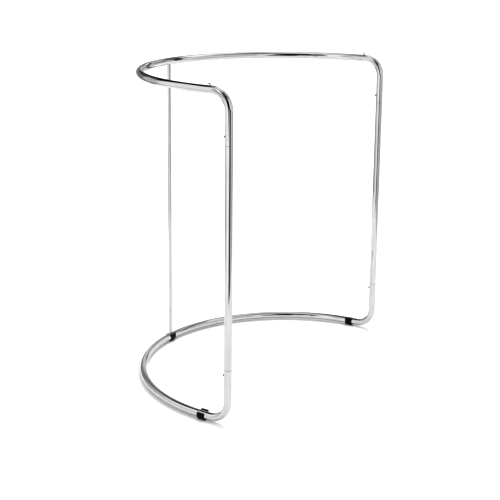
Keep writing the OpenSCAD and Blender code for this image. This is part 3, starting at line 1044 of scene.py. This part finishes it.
# floor
ang = np.linspace(0, 2 * math.pi, 96, endpoint=False)
floor_rings = [np.stack([r * np.cos(ang), r * np.sin(ang), np.zeros_like(ang)], 1) for r in (0.05, 0.5, 1.0, 2.0, 4.0, 8.0, 20.0, 60.0)]
fv, ff = rings_mesh(floor_rings, cap_start=True)
ff = [tuple(reversed(f)) for f in ff]
floor = add_object("floor", fv, ff)
fm = Nodes("floor_paper")
fm.bsdf.inputs["Roughness"].default_value = 0.9
fm.bsdf.inputs["Specular IOR Level"].default_value = 0.0
fpos = fm.position()
fm.link(fm.mix(fm.noise(fpos, 3.0, 3), (0.862, 0.862, 0.862), (0.872, 0.872, 0.872)), fm.bsdf.inputs["Base Color"])
paint(floor, fm.mat)

# the tent: a round wall and a ceiling that only mirrors see, painted with soft-edged panels
TENT_R, TENT_H = 1.8, 3.5


def soft(x, a, b, w):
    """1 between a and b, falling to 0 over w outside them."""
    up_edge = np.clip((x - (a - w)) / w, 0, 1)
    down_edge = np.clip(((b + w) - x) / w, 0, 1)
    t = up_edge * down_edge
    return t * t * (3 - 2 * t)


def around(az, a, b, w):
    """soft() for angles that wrap."""
    mid, half = (a + b) / 2, (b - a) / 2
    d = np.abs((az - mid + 180) % 360 - 180)
    t = np.clip((half + w - d) / w, 0, 1)
    return t * t * (3 - 2 * t)


def wall_glow(az, z):
    g = np.full_like(az, 0.70)
    for a, b, wa, lo, hi, wz, value in PANELS:
        k = around(az, a, b, wa) * soft(z, lo, hi, wz)
        g = g * (1 - k) + value * k
    return g


# azimuth from, to, softness in degrees; height from, to, softness in metres; brightness
PANELS = [
    (-160, -110, 12, 0.70, 2.90, 0.50, 1.05),  # left wall, lit
    (-30, 60, 12, 1.50, 2.30, 0.30, 0.75),     # right wall
    (-20, 30, 14, 2.50, 3.60, 0.25, 0.40),     # right wall, top
    (-36, -22, 5, 0.75, 1.90, 0.30, 1.15),     # reflector, right
    (10, 42, 8, 0.90, 1.30, 0.20, 0.90),
    (0, 40, 8, 0.20, 0.70, 0.20, 0.55),
    (-102, -82, 7, 1.80, 3.60, 0.40, 1.35),    # strip light
    (-98, -82, 7, 0.40, 1.20, 0.20, 1.30),
    (-100, -75, 8, 0.00, 1.00, 0.20, 1.25),
    (-102, -90, 5, 1.30, 1.65, 0.15, 0.50),
    (-78, -67, 5, 0.80, 3.60, 0.40, 0.30),     # edge of the camera side
    (-64, -43, 6, 1.15, 3.60, 0.25, 0.00),     # behind the camera
    (-62, -36, 6, 1.95, 3.20, 0.20, 0.01),
    (-40, -14, 6, 2.65, 3.15, 0.12, 0.00),
    (-84, -66, 5, 0.02, 0.66, 0.14, 1.20),
    (-52, -31, 5, 0.05, 1.00, 0.15, 0.03),
    (54, 118, 10, 2.65, 3.60, 0.25, 1.28),     # bank of light above the backdrop
    (58, 118, 8, 0.30, 1.35, 0.25, 0.80),      # backdrop
    (60, 103, 6, 2.00, 2.50, 0.15, 0.12),
    (75, 116, 6, 1.42, 1.70, 0.10, 0.18),
    (41, 60, 5, 0.65, 1.30, 0.20, 1.00),
    (47, 64, 6, 0.00, 0.20, 0.10, 1.45),
    (64, 105, 8, 0.20, 0.55, 0.10, 1.30),
    (104, 130, 6, 1.10, 1.55, 0.15, 0.50),
    (100, 128, 6, 1.60, 2.10, 0.15, 0.90),
    (118, 134, 5, 2.05, 3.60, 0.20, 0.00),     # open studio, back left
    (150, 190, 8, 0.10, 1.10, 0.20, 0.28),
    (138, 184, 8, 0.92, 1.50, 0.20, 0.24),
    (144, 184, 6, 1.55, 2.05, 0.20, 0.08),
    (146, 190, 6, 2.20, 3.60, 0.20, 0.00),
    (130, 147, 5, 1.50, 3.60, 0.20, 0.00),
    (126, 138, 4, 0.00, 0.60, 0.10, 0.04),
    (-182, -162, 6, 0.45, 1.70, 0.30, 0.62),
    (-182, -167, 6, 1.95, 3.60, 0.30, 0.02),
    (-166, -120, 8, 3.10, 3.60, 0.15, 0.06),
    (50, 58, 3, 0.88, 1.50, 0.10, 0.00),       # edge of the backdrop, right
    (57, 65, 3, 1.50, 2.20, 0.10, 0.00),
    (104, 110, 3, 0.28, 1.65, 0.10, 0.06),     # its edge, left
    (111, 116, 3, 1.68, 2.30, 0.10, 0.06),
    (-103, -97, 4, 1.00, 2.00, 0.20, 0.45),
    (-41, -36, 4, 1.55, 2.30, 0.10, 0.00),
    (-77, -65, 4, 0.84, 1.28, 0.10, 0.02),
]
wz = np.linspace(-0.02, TENT_H, 89)
waz = np.radians(np.arange(-180, 180, 2.0))
wall_rings = [np.stack([TENT_R * np.cos(waz), TENT_R * np.sin(waz), np.full_like(waz, z)], 1) for z in wz]
tv, tf = rings_mesh(wall_rings)
glow = wall_glow(np.degrees(np.arctan2(tv[:, 1], tv[:, 0])), tv[:, 2])
radii = (1.8, 1.65, 1.5, 1.35, 1.2, 1.05, 0.9, 0.75, 0.6, 0.45, 0.3, 0.15)
n_wall = len(tv)
top_rings = [np.stack([r * np.cos(waz), r * np.sin(waz), np.full_like(waz, TENT_H)], 1) for r in radii]
cv, cf = rings_mesh(top_rings, cap_end=True)


def ceiling_glow(x, y):
    r, az = np.hypot(x, y), np.degrees(np.arctan2(y, x))
    g = np.full_like(r, 0.40)
    for a, b, wa, r0, r1, wr, value in CEILING:
        k = around(az, a, b, wa) * soft(r, r0, r1, wr)
        g = g * (1 - k) + value * k
    return g


# the same with a radius in place of the height
CEILING = [
    (-180, 180, 1, -1.0, 0.55, 0.30, 1.10),
    (75, 110, 12, 0.10, 0.68, 0.15, 1.45),
    (-34, 10, 12, 0.10, 0.80, 0.15, 1.20),
    (10, 90, 14, 0.92, 1.25, 0.15, 0.24),
    (64, 113, 10, 1.28, 2.00, 0.15, 1.22),
    (126, 208, 9, 1.30, 2.00, 0.16, 0.00),
    (-46, -17, 10, 1.52, 2.00, 0.15, 0.00),
]

tent = add_object("tent", np.concatenate([tv, cv]), list(tf) + [tuple(i + n_wall for i in f) for f in cf])
att = tent.data.attributes.new("glow", "FLOAT", "POINT")
att.data.foreach_set("value", (1.2 * np.concatenate([glow, ceiling_glow(cv[:, 0], cv[:, 1])])).astype(np.float32))
tm = bpy.data.materials.new("tent_glow")
tm.use_nodes = True
tt = tm.node_tree
tt.nodes.clear()
t_out, t_em, t_at = tt.nodes.new("ShaderNodeOutputMaterial"), tt.nodes.new("ShaderNodeEmission"), tt.nodes.new("ShaderNodeAttribute")
t_at.attribute_type, t_at.attribute_name = "GEOMETRY", "glow"
tt.links.new(t_at.outputs["Fac"], t_em.inputs["Strength"])
tt.links.new(t_em.outputs[0], t_out.inputs["Surface"])
paint(tent, tm)
for flag in ("visible_camera", "visible_diffuse", "visible_transmission", "visible_volume_scatter", "visible_shadow"):
    setattr(tent, flag, False)
